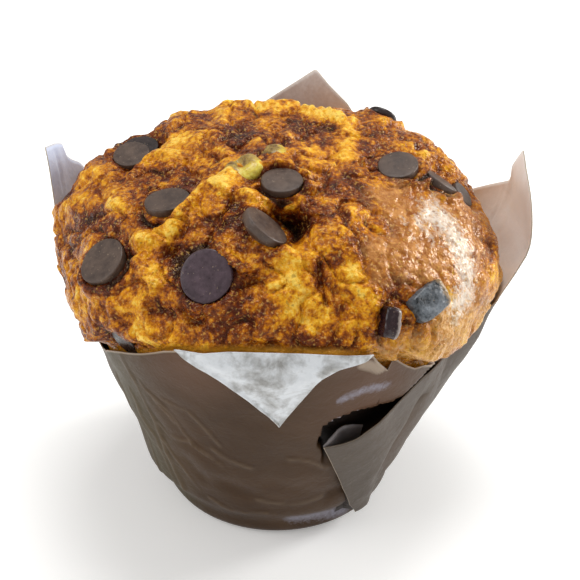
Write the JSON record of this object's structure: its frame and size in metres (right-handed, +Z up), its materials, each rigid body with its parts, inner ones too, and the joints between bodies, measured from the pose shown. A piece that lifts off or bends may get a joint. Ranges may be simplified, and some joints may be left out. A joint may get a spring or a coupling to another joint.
{
  "type": "muffin",
  "caption": "Large domed muffin with chocolate drops, baked in a folded square of brown greaseproof paper with one corner turned down.",
  "frame": {"origin": "centre of the round underside of the paper case, where the muffin stands", "axes": "+Z up through the crown; -Y towards the folded-down corner of the paper; +X to the right when looking along +Y"},
  "size_m": [0.0952, 0.0862, 0.0807],
  "materials": {
    "cake": "satin",
    "paper": "satin",
    "chocolate": "satin",
    "fruit": "satin"
  },
  "bodies": {
    "root": {"cake": "cake", "paper_case": "paper", "chip_top": "chocolate", "chip_upper_left": "chocolate", "chip_left_shoulder": "chocolate", "chip_left_shoulder_back": "chocolate", "chip_left_side": "chocolate", "chip_front": "chocolate", "chip_middle": "chocolate", "chip_right": "chocolate", "chip_far_right": "chocolate", "chip_right_edge": "chocolate", "chip_back": "chocolate", "chip_left_rim": "chocolate", "chocolate_chunk_small": "chocolate", "chocolate_chunk_large": "chocolate", "fruit_piece_large": "fruit", "fruit_piece_small": "fruit"}
  },
  "joints": []
}
